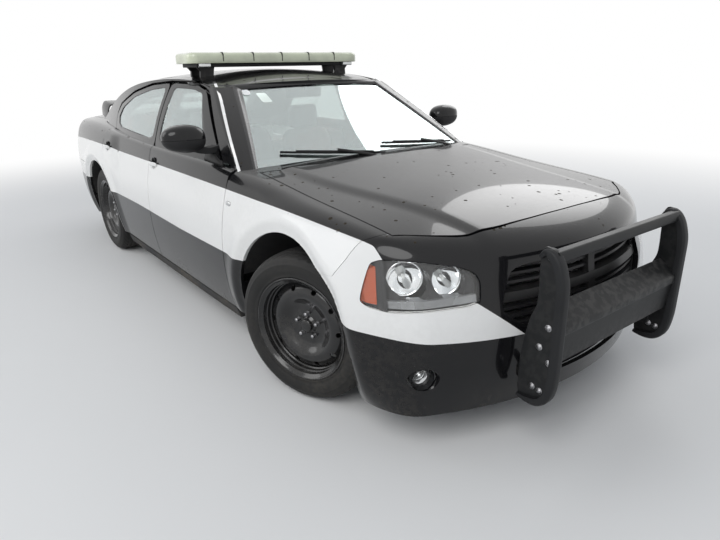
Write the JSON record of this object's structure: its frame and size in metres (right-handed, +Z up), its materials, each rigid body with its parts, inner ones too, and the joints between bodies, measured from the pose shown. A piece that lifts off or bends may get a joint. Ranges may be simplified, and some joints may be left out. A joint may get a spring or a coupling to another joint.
{
  "type": "police patrol car",
  "caption": "Four-door saloon patrol car with roof light bar and front push bar, opening doors, hood, trunk lid and fuel flap, wheels that roll and steer.",
  "frame": {"origin": "on the road under the middle of the car, halfway along and across", "axes": "+X forwards, +Y to the car's left, +Z up"},
  "size_m": [5.2131, 2.168, 1.5819],
  "materials": {
    "black_paint": "gloss clear coat",
    "white_paint": "gloss clear coat with black upper and lower parts",
    "black_metal": "satin powder coat",
    "black_steel": "satin",
    "black_plastic": "grained",
    "dash_plastic": "grained",
    "underbody": "dull underbody coating",
    "cast_metal": "rough cast",
    "exhaust_metal": "dull",
    "alloy": "dull",
    "glass": "clear, faint green",
    "lamp_glass": "clear cover over dark housing",
    "lamp_red": "gloss",
    "lens_clear": "clear ribbed lens, dirty",
    "seat_fabric": "woven",
    "tyre": "rubber"
  },
  "bodies": {
    "body": {"floor_pan": "underbody", "front_structure": "black_paint", "cabin_frame": "black_paint", "rear_quarters": "white_paint", "fenders": "white_paint", "front_bumper": "white_paint", "rear_bumper": "black_paint", "grille": "black_plastic", "push_bar": "black_metal", "light_bar": "lens_clear", "headlights": "lamp_glass", "tail_lights": "lamp_red", "windscreen": "glass", "rear_screen": "glass", "front_subframe": "underbody", "upper_arms": "underbody", "rear_subframe": "underbody", "wheel_liners": "black_plastic", "front_seats": "seat_fabric", "rear_seat": "seat_fabric", "dashboard": "dash_plastic", "engine_block": "cast_metal", "exhaust": "exhaust_metal", "wipers": "black_plastic", "radiator": "alloy"},
    "hood": {"hood": "black_paint"},
    "trunk_lid": {"trunk_lid": "black_paint", "spoiler": "black_paint"},
    "fuel_flap": {"fuel_flap": "white_paint"},
    "steering_wheel": {"steering_wheel": "dash_plastic"},
    "door_front_left": {"door_front_left": "white_paint", "glass_front_left": "glass", "mirror_left": "black_plastic"},
    "wheel_front_left": {"tyre_front_left": "tyre", "rim_front_left": "black_steel"},
    "door_rear_left": {"door_rear_left": "white_paint", "glass_rear_left": "glass"},
    "wheel_rear_left": {"tyre_rear_left": "tyre", "rim_rear_left": "black_steel"},
    "knuckle_left": {"knuckle_front_left": "cast_metal"},
    "door_front_right": {"door_front_right": "white_paint", "glass_front_right": "glass", "mirror_right": "black_plastic"},
    "wheel_front_right": {"tyre_front_right": "tyre", "rim_front_right": "black_steel"},
    "door_rear_right": {"door_rear_right": "white_paint", "glass_rear_right": "glass"},
    "wheel_rear_right": {"tyre_rear_right": "tyre", "rim_rear_right": "black_steel"},
    "knuckle_right": {"knuckle_front_right": "cast_metal"}
  },
  "joints": [
    {"name": "door_front_left", "type": "hinge", "parent": "body", "child": "door_front_left", "pos_m": [0.8775, 0.935, 0.62], "axis": [0, 0, -1], "range_deg": [0, 65]},
    {"name": "door_rear_left", "type": "hinge", "parent": "body", "child": "door_rear_left", "pos_m": [-0.2795, 0.938, 0.62], "axis": [0, 0, -1], "range_deg": [0, 65]},
    {"name": "steer_left", "type": "hinge", "parent": "body", "child": "knuckle_left", "pos_m": [1.5205, 0.741, 0.358], "axis": [0, 0, 1], "range_deg": [-55, 15]},
    {"name": "spin_front_left", "type": "hinge", "parent": "knuckle_left", "child": "wheel_front_left", "pos_m": [1.49998, 0.79738, 0.358], "axis": [-0.342, 0.9397, 0], "continuous": true},
    {"name": "spin_rear_left", "type": "hinge", "parent": "body", "child": "wheel_rear_left", "pos_m": [-1.5275, 0.801, 0.358], "axis": [0, 1, 0], "continuous": true},
    {"name": "door_front_right", "type": "hinge", "parent": "body", "child": "door_front_right", "pos_m": [0.8775, -0.935, 0.62], "axis": [0, 0, 1], "range_deg": [0, 65]},
    {"name": "door_rear_right", "type": "hinge", "parent": "body", "child": "door_rear_right", "pos_m": [-0.2795, -0.938, 0.62], "axis": [0, 0, 1], "range_deg": [0, 65]},
    {"name": "steer_right", "type": "hinge", "parent": "body", "child": "knuckle_right", "pos_m": [1.5205, -0.741, 0.358], "axis": [0, 0, 1], "range_deg": [-55, 15]},
    {"name": "spin_front_right", "type": "hinge", "parent": "knuckle_right", "child": "wheel_front_right", "pos_m": [1.54102, -0.79738, 0.358], "axis": [-0.342, 0.9397, 0], "continuous": true},
    {"name": "spin_rear_right", "type": "hinge", "parent": "body", "child": "wheel_rear_right", "pos_m": [-1.5275, -0.801, 0.358], "axis": [0, 1, 0], "continuous": true},
    {"name": "steering_wheel", "type": "hinge", "parent": "body", "child": "steering_wheel", "pos_m": [0.4455, 0.4, 0.905], "axis": [-0.9135, 0, 0.4067], "range_deg": [-880, 240]},
    {"name": "hood", "type": "hinge", "parent": "body", "child": "hood", "pos_m": [0.9205, 0, 0.93], "axis": [0, -1, 0], "range_deg": [0, 50]},
    {"name": "trunk_lid", "type": "hinge", "parent": "body", "child": "trunk_lid", "pos_m": [-1.9015, 0, 1.128], "axis": [0, 1, 0], "range_deg": [0, 80]},
    {"name": "fuel_flap", "type": "hinge", "parent": "body", "child": "fuel_flap", "pos_m": [-1.7135, 0.925, 0.905], "axis": [0, 0, -1], "range_deg": [0, 80]}
  ],
  "couplings": [
    {"joint": "steer_right", "follows": "steer_left", "ratio": 1},
    {"joint": "steering_wheel", "follows": "steer_left", "ratio": 16}
  ]
}
